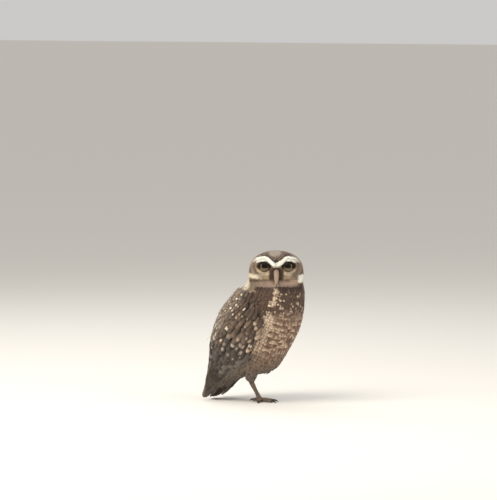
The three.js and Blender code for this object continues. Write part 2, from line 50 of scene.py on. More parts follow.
MM = 0.001
HEAD_CENTRE = np.array([-4.3, -26.3, 181.5])
EYES_AHEAD, EYES_ABOVE = 0.0204, 0.007  # metres, of the head's centre


def middle_of(node):
    low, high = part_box(node)
    return (low + high) / 2


eye_places = {side: middle_of("eye_" + side) for side in ("right", "left")}
head_across = (eye_places["left"] - eye_places["right"]).normalized()
head_gaze = head_across.cross(Vector((0, 0, 1)))
between_eyes = (eye_places["left"] + eye_places["right"]) / 2
head_middle = between_eyes - head_gaze * EYES_AHEAD - Vector((0, 0, EYES_ABOVE))
ground = np.array(head_middle) / MM - HEAD_CENTRE

VIEW_AZIMUTH, VIEW_ELEVATION = -55, 4
VIEW_DISTANCE = 5.0  # metres
MM_PER_PIXEL = 1.362
FRAME_MIDDLE = (248.5, 250)  # pixels
ORIGIN_PIXEL = (262, 402)  # where the owl's own origin shows
HALF_FRAME = 250  # pixels, of the frame's longer side
HALF_SENSOR = 18  # millimetres


def way_to(azimuth, elevation):
    """The way from the owl to a camera or light: azimuth 0 is before its breast and -90 at its right."""
    turn, rise = math.radians(azimuth), math.radians(elevation)
    return Vector((math.sin(turn) * math.cos(rise), -math.cos(turn) * math.cos(rise), math.sin(rise)))


view_turn = math.radians(VIEW_AZIMUTH)
view_right = Vector((math.cos(view_turn), math.sin(view_turn), 0))
view_back = way_to(VIEW_AZIMUTH, VIEW_ELEVATION)
view_up = view_back.cross(view_right)
pan = view_right * (FRAME_MIDDLE[0] - ORIGIN_PIXEL[0]) + view_up * (ORIGIN_PIXEL[1] - FRAME_MIDDLE[1])
aim = Vector(ground * MM) + pan * MM_PER_PIXEL * MM
camera_data = bpy.data.cameras.new("camera")
camera_data.lens = HALF_SENSOR / (HALF_FRAME * MM_PER_PIXEL * MM / VIEW_DISTANCE)
camera = bpy.data.objects.new("camera", camera_data)
camera.location = aim + view_back * VIEW_DISTANCE
camera.rotation_mode = "QUATERNION"
camera.rotation_quaternion = (-view_back).to_track_quat("-Z", "Y")
bpy.context.collection.objects.link(camera)
bpy.context.scene.camera = camera


def linear(hex_colour):
    """An sRGB hex colour as linear red, green and blue."""
    rgb = np.array([int(hex_colour[i : i + 2], 16) for i in (1, 3, 5)]) / 255
    return np.where(rgb <= 0.04045, rgb / 12.92, ((rgb + 0.055) / 1.055) ** 2.4)


def add_node(tree, kind, settings=None, links=None):
    """A shader node with its settings. Inputs are values or outputs; a node stands for its first output."""
    node = tree.nodes.new("ShaderNode" + kind)
    for name, value in (settings or {}).items():
        setattr(node, name, value)
    for name, value in (links or {}).items():
        socket = node.inputs[name]
        if isinstance(value, bpy.types.Node):
            value = value.outputs[0]
        if isinstance(value, bpy.types.NodeSocket):
            tree.links.new(value, socket)
        else:
            socket.default_value = value
    return node


def new_material(name):
    material = bpy.data.materials.new(name)
    material.use_nodes = True
    material.node_tree.nodes.clear()
    return material, material.node_tree


def finish_material(tree, links):
    shader = add_node(tree, "BsdfPrincipled", links=links)
    add_node(tree, "OutputMaterial", links={"Surface": shader})


LIT_POINT = Vector((0, 0, 0.1))
LIGHT_DISTANCE = 1.6


def soft_light(name, azimuth, elevation, size, watts, tint):
    """A square studio light aimed at the owl."""
    away = way_to(azimuth, elevation)
    data = bpy.data.lights.new(name, "AREA")
    data.energy, data.size, data.color = watts, size, tint
    lamp = bpy.data.objects.new(name, data)
    lamp.location = LIT_POINT + away * LIGHT_DISTANCE
    lamp.rotation_mode = "QUATERNION"
    lamp.rotation_quaternion = away.to_track_quat("Z", "Y")
    bpy.context.collection.objects.link(lamp)


soft_light("key_light", -100, 50, 1.0, 20, (1.0, 0.96, 0.9))
soft_light("fill_light", 0, 30, 1.4, 7, (0.95, 0.97, 1.0))
soft_light("back_light", 150, 50, 1.2, 7, (0.96, 0.98, 1.0))

# Pale matt paint: chalky and even, without gloss.
FLOOR_SIZE = 60  # metres
bpy.ops.mesh.primitive_plane_add(size=FLOOR_SIZE)
floor = bpy.context.active_object
floor.name = "floor"
paint, tree = new_material("pale_matt_paint")
finish_material(tree, {"Base Color": (*linear("#ebe7df"), 1), "Roughness": 0.9})
floor.data.materials.append(paint)

world = bpy.data.worlds.new("studio")
world.use_nodes = True
world.node_tree.nodes["Background"].inputs["Color"].default_value = (*linear("#eeecea"), 1)
world.node_tree.nodes["Background"].inputs["Strength"].default_value = 0.7
bpy.context.scene.world = world
bpy.context.scene.view_settings.view_transform = "Standard"

# Form of the body
# Contour feathers lie in rows round a body that is oval in section from neck to tail. The sections, in mm and
# degrees, give each feather its place: how far down the body it grows, and how far round from the breast.

SECTIONS = np.array(
    [
        # y, z, tilt, half width, reach to breast, reach to back
        [-25, 178, 0, 30, 30, 30],
        [-23, 161, 3, 35, 38, 43],
        [-13, 143, 14, 40, 50, 44],
        [-1, 122, 24, 44, 57, 44],
        [13, 101, 32, 44, 58, 46],
        [28, 80, 38, 42, 57.5, 43],
        [42, 62, 38, 37, 40.5, 35],
        [54, 45, 36, 30, 22, 23],
        [66, 28, 34, 25, 11, 12],
        [76, 14, 33, 22, 6, 6],
        [85, 3, 33, 20, 3, 3],
    ],
    float,
)
BOXINESS = 0.88  # power of a section's outline: 1 is an ellipse, and less is boxier
STATIONS = np.linspace(0, 1, 201)
BATCH = 3000  # points set against all stations at once


def section_at(down):
    """Centre, direction to the breast, direction along the body and reaches, at shares of the way down."""
    at = np.clip(np.asarray(down, float), 0, 1) * (len(SECTIONS) - 1)
    first = np.clip(at.astype(int), 0, len(SECTIONS) - 2)
    t = (at - first)[..., None]
    p0, p1, p2, p3 = (SECTIONS[np.clip(first + k, 0, len(SECTIONS) - 1)] for k in (-1, 0, 1, 2))
    square, cube = 2 * p0 - 5 * p1 + 4 * p2 - p3, 3 * p1 - p0 - 3 * p2 + p3
    section = 0.5 * (2 * p1 + (p2 - p0) * t + square * t**2 + cube * t**3)
    tilt = np.radians(section[..., 2])
    zero = np.zeros_like(tilt)
    centre = np.stack([zero, section[..., 0], section[..., 1]], -1)
    breast = np.stack([zero, -np.cos(tilt), -np.sin(tilt)], -1)
    along = np.stack([zero, np.sin(tilt), -np.cos(tilt)], -1)
    return centre, breast, along, section[..., 3:]


def body_point(around, down, grow):
    """Points on the body's form: around is 0 at the breast, 90 on the left side and -90 on the right."""
    centre, breast, _, reach = section_at(down)
    ahead, aside = np.cos(np.radians(around)), np.sin(np.radians(around))
    depth = np.where(ahead > 0, reach[..., 1], reach[..., 2]) + grow
    point = centre + breast * (np.sign(ahead) * np.abs(ahead) ** BOXINESS * depth)[..., None]
    point[..., 0] += np.sign(aside) * np.abs(aside) ** BOXINESS * (reach[..., 0] + grow)
    return point


def body_coordinates(points):
    """How far round and how far down the body points lie: about the reverse of body_point."""
    centre, breast, along, reach = section_at(STATIONS)
    nearest = []
    for part in np.array_split(points, len(points) // BATCH + 1):
        offset = part[:, None] - centre[None]
        off_plane = np.abs(np.einsum("nsk,sk->ns", offset, along))
        nearest.append((off_plane + 0.15 * np.linalg.norm(offset, axis=2)).argmin(1))
    k = np.concatenate(nearest)
    forward = np.einsum("nk,nk->n", points - centre[k], breast[k])
    depth = np.where(forward > 0, reach[k, 1], reach[k, 2])
    around = np.degrees(np.arctan2(points[:, 0] / reach[k, 0], forward / depth))
    return around, STATIONS[k]


# Skin
# The skin that carries the feathers is one piece over head, neck, body, wings, thighs and tail root. It is the
# solids' form drawn in by the depth of the coat, so that the feathers' tips come out to the solids.


def copy_of(nodes, name):
    """One piece copied from the solids, its loose triangles merged."""
    bpy.ops.object.select_all(action="DESELECT")
    for node in nodes:
        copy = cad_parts[node].copy()
        copy.data = copy.data.copy()
        copy.parent = None
        for key in list(copy.keys()):
            del copy[key]
        bpy.context.collection.objects.link(copy)
        copy.hide_viewport = False
        copy.select_set(True)
        bpy.context.view_layer.objects.active = copy
    if len(nodes) > 1:
        bpy.ops.object.join()
    piece = bpy.context.active_object
    piece.name = piece.data.name = name
    piece.data.materials.clear()
    bpy.ops.object.mode_set(mode="EDIT")
    bpy.ops.mesh.select_all(action="SELECT")
    bpy.ops.mesh.remove_doubles(threshold=1e-6)
    bpy.ops.object.mode_set(mode="OBJECT")
    return piece


def select_only(piece):
    bpy.ops.object.select_all(action="DESELECT")
    piece.select_set(True)
    bpy.context.view_layer.objects.active = piece


def fuse(piece, voxel, rounds):
    """Joins what touches in a piece into one closed surface and smooths it."""
    remesh = piece.modifiers.new("fuse", "REMESH")
    remesh.mode, remesh.voxel_size = "VOXEL", voxel
    smooth = piece.modifiers.new("smooth", "SMOOTH")
    smooth.factor, smooth.iterations = 0.5, rounds
    select_only(piece)
    bpy.ops.object.modifier_apply(modifier="fuse")
    bpy.ops.object.modifier_apply(modifier="smooth")
    bpy.ops.object.shade_smooth()


def keep_largest(piece):
    """Drops the scraps that fusing left loose."""
    name = piece.name
    select_only(piece)
    bpy.ops.mesh.separate(type="LOOSE")
    parts = sorted(bpy.context.selected_objects, key=lambda part: len(part.data.vertices))
    for scrap in parts[:-1]:
        bpy.data.objects.remove(scrap)
    parts[-1].name = parts[-1].data.name = name
    return parts[-1]


def coordinates(piece):
    """A piece's points in millimetres from the owl's own origin."""
    flat = np.empty(len(piece.data.vertices) * 3, np.float32)
    piece.data.vertices.foreach_get("co", flat)
    return flat.reshape(-1, 3) / MM - ground


def fade(value, start, end):
    """Rises smoothly from 0 at start to 1 at end."""
    share = np.clip((value - start) / (end - start), 0, 1)
    return share * share * (3 - 2 * share)


def to_head(points):
    """Points in the head's own frame: x to the owl's left, y backwards, z up, from the head's centre."""
    across = np.array(head_across)
    gaze = np.array(head_gaze)
    offset = points - HEAD_CENTRE
    return np.stack([offset @ across, -(offset @ gaze), offset[:, 2]], 1)


FLESH = ["head", "neck", "torso", "thigh_right", "thigh_left", "wing_right", "wing_left", "tail"]
COAT_DEPTH, THINNER_ON_FACE, DEEPER_BENEATH_WING, THINNER_AT_TIPS = 1.3, 0.4, 0.9, 0.9
WING_SKIN = 0.9  # most that the skin may stand over the body's form where the wings lie

skin = copy_of(FLESH, "skin")
fuse(skin, voxel=1.15 * MM, rounds=9)
skin = keep_largest(skin)
where = coordinates(skin)
around, down = body_coordinates(where)
on_face = fade(-to_head(where)[:, 1], 6, 16) * fade(where[:, 2], 155, 161)
beneath_wing = fade(np.abs(around), 62, 72) * (1 - fade(down, 0.56, 0.66)) * fade(down, 0.18, 0.24)
at_tips = fade(down, 0.62, 0.72) * (where[:, 2] < 66)
coat_depth = COAT_DEPTH - THINNER_ON_FACE * on_face
coat_depth = coat_depth + DEEPER_BENEATH_WING * beneath_wing - THINNER_AT_TIPS * at_tips
normals = np.empty(len(where) * 3, np.float32)
skin.data.vertices.foreach_get("normal", normals)
inset = where - normals.reshape(-1, 3) * coat_depth[:, None]

around, down = body_coordinates(inset)
middle = section_at(down)[0]
form = body_point(around, down, WING_SKIN)
reached, limit = (np.linalg.norm(points - middle, axis=1) for points in (inset, form))
too_far = (np.abs(around) > 56) & (down > 0.15) & (down < 0.85) & (reached > limit)
inset += (inset - middle) * (np.where(too_far, limit / reached, 1) - 1)[:, None]
skin.data.vertices.foreach_set("co", ((inset + ground) * MM).astype(np.float32).ravel())
skin.data.update()
where = coordinates(skin)
skin_faces = [tuple(face.vertices) for face in skin.data.polygons]
surface = BVHTree.FromPolygons([Vector(place) for place in where], skin_faces)

# Markings
# A burrowing owl is umber brown above with rounded pale spots, buff below with brown bars, and has white brows.
# One rule gives every point of skin and coat its colour, its mark's colour, and the size and place of its mark.

UMBER = linear("#57473b")
DARK_UMBER = linear("#3e3029")
SLATE_BROWN = linear("#4b423b")
GREY_BROWN = linear("#a39586")
CHEST_BROWN = linear("#5c483b")
BUFF = linear("#b0917a")
BAR_BROWN = linear("#6a5142")
PALE_BUFF = linear("#d4bca2")
ASH_BROWN = linear("#74604f")
VENT_GREY = linear("#6d645a")
FLANK_GREY_AND_SHADE = linear("#70685e")
CREAM = linear("#f6e8ce")
WHITE = linear("#fffbe9")
BAR_SPACING = 8.6


def wing_edge(down):
    """How far round from the breast the folded wing's front edge lies."""
    share = np.clip((down - 0.166) / 0.534, 0, 1)
    return 60 + 36 * (1 - fade(share, 0, 0.32)) ** 2 + 14 * fade(share, 0.55, 1)


def brow_height(x):
    """Height of the brow's middle above the head's centre, at a distance from the mid line."""
    return 8.6 + 8.6 * fade(x, 0, 15.5) - 2.4 * fade(x, 16, 28)


def near(value, middle, full, none):
    """1 within full of the middle, fading to 0 at none from it."""
    return 1 - fade(np.abs(value - middle), full, none)


def toward(colour, target, share):
    """Each row of colour moved towards the target by its share."""
    return colour + (target - colour) * np.clip(share, 0, 1)[:, None]


def body_markings(points, rng):
    count = len(points)
    around, down = body_coordinates(points)
    side = np.abs(around) + rng.normal(0, 2.5, count)
    height = points[:, 2] + rng.normal(0, 0.6, count)
    level = height + rng.normal(0, 2.0, count)
    wing = fade(side - wing_edge(down), -2, 2)
    wing = np.where(points[:, 2] < 40, (np.abs(around) > 62) * 1.0, wing)

    # Dark chest over a buff belly with wavy bars.
    shoulder = fade(side, 44, 52)
    belly = (1 - fade(level, 104, 130)) * (1 - shoulder) + (1 - fade(level, 88, 102)) * shoulder
    low = 1 - fade(level, 50, 78)
    front = toward(np.tile(CHEST_BROWN, (count, 1)), BUFF, belly)
    ripple = 1.8 * np.sin(np.radians(around) * 9) + 1.8 * np.sin(np.radians(around) * 4 + height / 14)
    wave = np.sin((height + ripple) * 2 * math.pi / BAR_SPACING)
    barred = belly * (1 - 0.8 * low)
    front = toward(front, BAR_BROWN, barred * fade(wave, -0.2, 0.5) * rng.uniform(0.6, 0.95, count))
    front = toward(front, PALE_BUFF, barred * fade(-wave, -0.1, 0.6) * rng.uniform(0.6, 0.95, count))

    # Pale streak and patch at the sides of the chest, pale fleck at the throat, pale edge along the wing.
    streak = near(side, 57, 2.5, 6) * fade(level, 131, 137) * (1 - fade(level, 154, 157))
    patch = near(side, 57, 7, 12) * near(level, 117, 4, 10)
    front = toward(front, PALE_BUFF, np.maximum(streak, 0.85 * patch))
    front = toward(front, PALE_BUFF, 0.9 * near(around, 30, 9, 15) * near(level, 156, 3, 5))
    flank = near(side - wing_edge(down), -8, 4, 10) * near(level, 92, 16, 26)
    front = toward(front, PALE_BUFF, 0.7 * flank)

    # Dull lowest feathers, a painted shadow under the chin, and grey-brown lower flanks darkened by painted
    # shade.
    front = toward(front, ASH_BROWN, 0.85 * low)
    front = toward(front, VENT_GREY, 0.8 * (1 - fade(level, 38, 52)))
    # Painted shadow under the overhanging chin, across the top of the breast.
    front = toward(front, DARK_UMBER, 0.8 * fade(level, 150, 155) * (1 - fade(side, 40, 60)))
    # Lower flanks grey-brown, darkened with painted shade where the body turns under, away from the light.
    front = toward(front, FLANK_GREY_AND_SHADE, 0.9 * fade(side, 36, 56) * (1 - fade(level, 62, 78)))

    # Back and wings, paler on the shoulders and mixed with ash-brown feathers.
    upper = toward(np.tile(SLATE_BROWN, (count, 1)), UMBER, fade(level, 66, 110))
    upper = toward(upper, GREY_BROWN, 0.75 * fade(side, 100, 130) * fade(level, 80, 100))
    upper = toward(upper, ASH_BROWN, 0.8 * (rng.random(count) < 0.3) * fade(level, 60, 80))
    base = toward(front, upper, wing)

    # Spots: in loose groups on the chest, one to a feather on about a third of the wing's.
    chest = (1 - belly) * (1 - wing) * (1 - fade(level, 149, 153)) * (1 - streak) * (1 - patch)
    lively = np.where(around > -50, 0.26, 0.08)
    spotted = rng.random(count)
    cluster = np.sin(height * 0.62 + 2 * np.sin(around * 0.11)) + np.cos(around * 0.33 + height * 0.1)
    spot = chest * np.where((cluster > 1.35) & (around > -48), 1.9, (spotted < 0.4 * lively) * 1.1)
    spot = spot + wing * (spotted < 0.34) * fade(level, 52, 74) * rng.uniform(0.6, 1.15, count)
    bright = rng.random(count) ** 2
    mark = toward(base, PALE_BUFF, 0.25 + 0.3 * rng.random(count))
    mark = toward(mark, CREAM, bright**2 * wing * 0.9)
    mark = toward(mark, PALE_BUFF, chest * (0.45 + 0.3 * rng.random(count)))
    bar = (1 - wing) * barred * 0.3
    mark = toward(mark, BAR_BROWN, (1 - wing) * belly)
    marking = np.stack([spot, bar, np.full(count, 1.6)], 1)
    spot_aside = 0.2 * wing * (rng.random(count) < 0.4)
    layout = np.stack([spot_aside, rng.uniform(0.68, 0.82, count), np.zeros(count)], 1)
    return base, mark, marking, layout


CROWN_BROWN = linear("#5b493a")
WINE_BROWN = linear("#5f4440")
TEMPLE_BUFF = linear("#9b8a79")
BROW_SHADOW = linear("#44312a")
NAPE_BROWN = linear("#8c7b6a")
DISC_BUFF = linear("#9c8871")
# Painted shade for the side of the facial disc turned away from the key light.
DISC_PAINTED_SHADE = linear("#8b7868")
RING_BROWN = linear("#75614a")
ARC_BUFF = linear("#d2bd9f")
BAND_BUFF = linear("#c2a98c")
BAND_BROWN = linear("#745b3e")
RUFF_BROWN = linear("#5e4935")
LORE_BROWN = linear("#4b3527")
BRIDGE_BROWN = linear("#3f2d1f")
MASK_BROWN_AND_SHADE = linear("#2a1a10")
CHIN_BUFF = linear("#ab9282")
JOWL_BUFF = linear("#c4a78e")
CHEEK_BUFF = linear("#9b8775")
CHEEK_LINE = linear("#5d4231")
STREAK_BROWN = linear("#513a29")
FLECK_BUFF = linear("#c9b9a3")
DISC_OUT, DISC_UP = 16, 7  # the middle of each side of the facial disc


def head_markings(points, rng):
    count = len(points)
    x, y, z = (to_head(points) + rng.normal(0, 0.3, (count, 3))).T
    wide = np.abs(x)
    facing = fade(-y, 3, 11)
    brow_gap = z - brow_height(wide)
    from_eye = np.hypot(wide - DISC_OUT, z - DISC_UP)
    turn_of_eye = np.degrees(np.arctan2(z - DISC_UP, wide - DISC_OUT))

    # Crown: a grey patch on top, wine brown before it, a dark line over each brow and between them.
    crown = np.tile(CROWN_BROWN, (count, 1))
    crown = toward(crown, GREY_BROWN, 0.9 * near(np.hypot((x + 2) / 10, (z - 25) / 5.5), 0, 0.55, 1.15))
    crown = toward(crown, WINE_BROWN, 0.7 * facing * near(x, 15, 6, 11) * near(z, 22, 2, 6))
    crown = toward(crown, TEMPLE_BUFF, 0.7 * facing * near(wide, 27, 4, 9) * near(z, 20, 2, 6))
    crown = toward(crown, BROW_SHADOW, 0.85 * facing * near(brow_gap, 5.2, 1.2, 3) * near(wide, 12, 7, 12))
    crown = toward(crown, DARK_UMBER, 0.85 * facing * near(x, 0, 3, 7) * near(z, 13, 2.5, 6))
    crown = toward(crown, NAPE_BROWN, 0.55 * (1 - facing) * fade(z, -4, 12))

    # Facial disc: rings and bands about the eyes, dark lores and sockets, a pale chin and painted shadow below
    # it.
    # Painted shade: the disc darkens towards the owl's left, the side turned away from the key light.
    disc = toward(np.tile(DISC_BUFF, (count, 1)), DISC_PAINTED_SHADE, fade(x, 0, 20))
    below = DISC_UP - z
    ring = near(from_eye, 15, 0.8, 2.6) * fade(-turn_of_eye, -30, 0)
    disc = toward(disc, RING_BROWN, 0.75 * ring)
    arc = near(from_eye, 10.4, 1.2, 3.6) * fade(below, 2, 7) * fade(wide, 7, 12)
    disc = toward(disc, ARC_BUFF, 0.9 * arc)
    disc = toward(disc, BAND_BUFF, 0.6 * near(z, -8.2, 0.8, 2.4) * near(wide, 14, 5, 9))
    disc = toward(disc, BAND_BROWN, 0.75 * near(z, -11.6, 0.6, 1.9) * near(wide, 16, 4, 7))
    ruff = near(from_eye, 21, 0.8, 2.6)
    disc = toward(disc, RUFF_BROWN, 0.75 * ruff * (1 - fade(z, 3, 9)) * (wide > 14))
    disc = toward(disc, LORE_BROWN, near(wide, 6.4, 2.0, 4.8) * fade(z, -15, -10) * (1 - fade(z, 2, 5)))
    disc = toward(disc, BRIDGE_BROWN, (1 - fade(wide, 4, 7)) * near(z, 2.2, 1.6, 4))
    # Dark skin and feathers round each eye, reaching furthest up under the brow: partly their own colour, partly
    # painted shade from brow and lids.
    socket = np.hypot((wide - 16.5) / 1.25, below / np.where(below < 0, 1.0, 0.7))
    disc = toward(disc, MASK_BROWN_AND_SHADE, 1 - fade(socket, 7.4, 9.0))
    disc = toward(disc, CHIN_BUFF, 0.9 * (1 - fade(wide, 20, 26)) * (1 - fade(z, -15.5, -12.5)))
    disc = toward(disc, JOWL_BUFF, 0.8 * near(x, 24, 3, 8) * near(z, -15, 2.5, 5))
    # Painted shadow under the chin, where the head overhangs the breast.
    disc = toward(disc, DARK_UMBER, 0.95 * near(z, -24.5, 2.2, 4.5) * (1 - fade(wide, 26, 32)))

    face = toward(crown, disc, 1 - fade(brow_gap, -0.6, 0.6))
    side_brow = 1 - fade(wide, 24, 31)
    brow = near(brow_gap, 0, 2.7, 3.8) * (0.35 + 0.65 * side_brow) * (1 - fade(wide, 30, 34))
    face = toward(face, WHITE, brow)

    # Cheeks: a white patch and brown line on the left, and a cream band, brown streak and stripe on the right.
    cheek = near(y, -9, 12, 18)
    left = fade(x, 28, 31) * cheek
    right = (1 - fade(x, -27, -18)) * near(y, -8, 14, 22)
    whole = toward(toward(crown, CHEEK_BUFF, cheek * (z < 16)), face, facing)
    left_patch = np.hypot((z + 10.5) / 6.4, (y + 12) / 15)
    whole = toward(whole, WHITE, left * (1 - fade(left_patch, 0.75, 1.05)))
    whole = toward(whole, CHEEK_LINE, 0.9 * left * near(z, -18.6, 1.0, 2.6))
    whole = toward(whole, PALE_BUFF, left * near(z, -25, 3, 5))
    sag = 0.12 * (x + 30)
    whole = toward(whole, CREAM, 0.95 * right * near(z + sag, -7, 1.8, 3.8))
    whole = toward(whole, STREAK_BROWN, 0.9 * (x < -24) * near(z, -13, 1.0, 2.4) * near(y, -14, 8, 12))
    stripe = near(x + 41, 0, 3.5, 7) * near(y, 2, 7, 13) * near(z, -17, 7, 12)
    whole = toward(whole, CREAM, 0.9 * stripe)

    plain = np.maximum.reduce([brow, left, 0.8 * right, stripe]) + facing * (brow_gap < 0.5)
    spot = np.clip(1 - plain, 0, 1) * (rng.random(count) < 0.55) * 0.85
    mark = toward(whole, FLECK_BUFF, 0.25 + 0.45 * rng.random(count))
    marking = np.stack([spot, np.zeros(count), np.ones(count)], 1)
    layout = np.stack([np.zeros(count), np.full(count, 0.72), np.zeros(count)], 1)
    return whole, mark, marking, layout


def markings(points, seed):
    """Base colour, mark colour, spot size with bar strength and count, and spot place, for points in mm."""
    rng = np.random.default_rng(seed)
    jitter = rng.normal(0, 0.8, len(points))
    border = 161 - 0.14 * (points[:, 1] + 60) + 1.5 * np.sin(points[:, 0] / 6) + jitter
    head = fade(points[:, 2] - border, -1, 1)[:, None]
    on_body, on_head = body_markings(points, rng), head_markings(points, rng)
    blends = (body * (1 - head) + cap * head for body, cap in zip(on_body, on_head))
    base, mark, marking, layout = blends
    shade = rng.normal(1, 0.08, len(points))[:, None]
    return np.clip(base * shade, 0, 1), np.clip(mark, 0, 1), marking, layout


def give(mesh, name, values):
    """A colour or vector for each of a mesh's points."""
    if name in ("plume", "mark"):
        layer = mesh.attributes.new(name, "FLOAT_COLOR", "POINT")
        values = np.concatenate([values, np.ones((len(values), 1))], 1)
        layer.data.foreach_set("color", np.asarray(values, np.float32).ravel())
    else:
        layer = mesh.attributes.new(name, "FLOAT_VECTOR", "POINT")
        layer.data.foreach_set("vector", np.asarray(values, np.float32).ravel())


SKIN_SHADE = 0.7  # of the feathers' colours
give(skin.data, "plume", markings(where, 5)[0] * SKIN_SHADE)

# Downy skin: thin skin with fine down, dull and dark between the feathers. The down is drawn at 0.8 mm.
down_skin, tree = new_material("downy_skin")
plume = add_node(tree, "Attribute", {"attribute_name": "plume"})
place = add_node(tree, "TexCoord")
fluff = add_node(tree, "TexNoise", links={"Vector": place.outputs["Object"], "Scale": 1250.0})
relief = add_node(tree, "Bump", links={"Height": fluff, "Strength": 0.5, "Distance": 0.0004})
finish_material(tree, {"Base Color": plume, "Roughness": 0.95, "Normal": relief})
skin.data.materials.append(down_skin)
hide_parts(*FLESH)
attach(skin, "root")

# Feather vanes
# A contour feather is a thin curved vane of barbs on a shaft, widest past its middle and round at the tip. Each
# is a closed lens of a few faces, whose root sits in the skin and whose length follows the body.

STEPS = np.array([0.0, 0.3, 0.6, 0.85, 1.0])
ROUND_TIP = np.array([0.4, 0.85, 1.0, 0.82, 0.3])
CROSS_RADIUS = 35  # how a vane curves across, edge to edge
PATCH = 0.003  # a small feather's size on the OFBake map


def unit(vectors):
    """Vectors along the last axis, each made one long."""
    return vectors / np.linalg.norm(vectors, axis=-1, keepdims=True)


def run_along(root, lie, length, rise):
    """The path of a feather's shaft over the skin: a point, normal and lie for each step."""
    rows = []
    point, heading = Vector(root), Vector(lie)
    for k, step in enumerate(STEPS):
        if k:
            point = point + heading * (length * (step - STEPS[k - 1]))
        touch, normal, _, _ = surface.find_nearest(point)
        heading = (heading - normal * heading.dot(normal)).normalized()
        raised = touch + normal * (rise[0] + rise[1] * length * step**1.4)
        rows.append((raised, normal.copy(), heading.copy()))
        point = touch
    return rows


def vane_mesh(name, paths, widths, outline, thickness, unwrap, looks, steps=STEPS, patch=PATCH):
    """One mesh of many vanes. paths holds point, normal and lie per vane and step, in millimetres."""
    point, normal, lie = paths
    count, rows = point.shape[:2]
    across = unit(np.cross(normal, lie))
    half = widths[:, None] * outline[None] * 0.5
    droop = half**2 / (2 * CROSS_RADIUS)
    body = np.linspace(1, 0.35, rows)[None, :, None] * thickness * normal
    corners = np.stack(
        [
            point - across * half[..., None] - normal * droop[..., None],
            point + across * half[..., None] - normal * droop[..., None],
            point + body * 0.5,
            point - body * 0.5,
        ],
        2,
    )
    verts = corners.reshape(-1, 3)
    quads = []
    for r in range(rows - 1):
        a, b = 4 * r, 4 * (r + 1)
        quads += [[a, a + 2, b + 2, b], [a + 2, a + 1, b + 1, b + 2]]
        quads += [[a, b, b + 3, a + 3], [a + 3, b + 3, b + 1, a + 1]]
    end = 4 * (rows - 1)
    quads += [[0, 3, 1, 2], [end, end + 2, end + 1, end + 3]]
    faces = (np.arange(count)[:, None, None] * rows * 4 + np.array(quads)[None]).reshape(-1, 4)
    mesh = bpy.data.meshes.new(name)
    mesh.vertices.add(len(verts))
    mesh.vertices.foreach_set("co", ((verts + ground) * MM).astype(np.float32).ravel())
    mesh.loops.add(faces.size)
    mesh.loops.foreach_set("vertex_index", faces.astype(np.int32).ravel())
    mesh.polygons.add(len(faces))
    mesh.polygons.foreach_set("loop_start", np.arange(0, faces.size, 4, dtype=np.int32))
    mesh.update(calc_edges=True)
    mesh.polygons.foreach_set("use_smooth", np.ones(len(faces), bool))
    per = rows * 4
    for layer, values in zip(("plume", "mark", "marking", "layout"), looks):
        give(mesh, layer, np.repeat(values, per, 0))
    span = np.array([0.0, 1.0, 0.5, 0.5])
    vane = np.stack(np.broadcast_arrays(span[None, :], steps[:, None]), -1).reshape(-1, 2)
    vane = np.tile(vane, (count, 1))
    bake = np.repeat(unwrap, per, 0) + (vane - 0.5) * patch
    for layer, uv in (("OFBake", bake), ("vane", vane)):
        corner_uv = uv[faces.ravel()].astype(np.float32)
        mesh.uv_layers.new(name=layer).data.foreach_set("uv", corner_uv.ravel())
    piece = bpy.data.objects.new(name, mesh)
    bpy.context.collection.objects.link(piece)
    mesh.materials.append(barbs)
    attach(piece, "root")
    return piece


# Feather barbs: keratin barbs on a darker shaft, matt with a little sheen. Real barbs stand 0.05 mm apart, too
# fine to show, so they are drawn at about a twentieth of a vane's length. Sizes are shares of the vane's own.
SOFT = {"interpolation_type": "SMOOTHSTEP"}
LESS, TIMES = {"operation": "SUBTRACT"}, {"operation": "MULTIPLY"}
TIMES_PLUS = {"operation": "MULTIPLY_ADD"}
SPOT_WIDE, SPOT_LONG = 0.26, 0.2
BARB_TURNS, BARB_SLANT = 120.0, -70.0  # radians along the vane and across it
SHAFT_WIDE = 0.06

barbs, tree = new_material("feather_barbs")
plume = add_node(tree, "Attribute", {"attribute_name": "plume"})
marks = add_node(tree, "Attribute", {"attribute_name": "mark"})
amounts = add_node(tree, "Attribute", {"attribute_name": "marking"})
layouts = add_node(tree, "Attribute", {"attribute_name": "layout"})
amount = add_node(tree, "SeparateXYZ", links={"Vector": amounts.outputs["Vector"]})
layout = add_node(tree, "SeparateXYZ", links={"Vector": layouts.outputs["Vector"]})
chart = add_node(tree, "UVMap", {"uv_map": "vane"})
at = add_node(tree, "SeparateXYZ", links={"Vector": chart})
from_middle = add_node(tree, "Math", LESS, {0: at.outputs["X"], 1: 0.5})
off_shaft = add_node(tree, "Math", {"operation": "ABSOLUTE"}, {0: from_middle})
aside = add_node(tree, "Math", LESS, {0: off_shaft, 1: layout.outputs["X"]})
aside = add_node(tree, "Math", {"operation": "DIVIDE"}, {0: aside, 1: SPOT_WIDE})
onward = add_node(tree, "Math", LESS, {0: at.outputs["Y"], 1: layout.outputs["Y"]})
onward = add_node(tree, "Math", {"operation": "DIVIDE"}, {0: onward, 1: SPOT_LONG})
from_spot = add_node(tree, "CombineXYZ", links={"X": aside, "Y": onward})
spot_far = add_node(tree, "VectorMath", {"operation": "LENGTH"}, {"Vector": from_spot})
inside = add_node(tree, "Math", LESS, {0: amount.outputs["X"], 1: spot_far.outputs["Value"]})
spots = add_node(tree, "MapRange", SOFT, {"Value": inside, "From Min": -0.3, "From Max": 0.3})
turns = add_node(tree, "Math", TIMES, {0: at.outputs["Y"], 1: amount.outputs["Z"]})
phase = add_node(tree, "Math", TIMES_PLUS, {0: turns, 1: 2 * math.pi, 2: 1.1})
wave = add_node(tree, "Math", {"operation": "SINE"}, {0: phase})
bars = add_node(tree, "MapRange", SOFT, {"Value": wave, "From Min": 0.0, "From Max": 0.6})
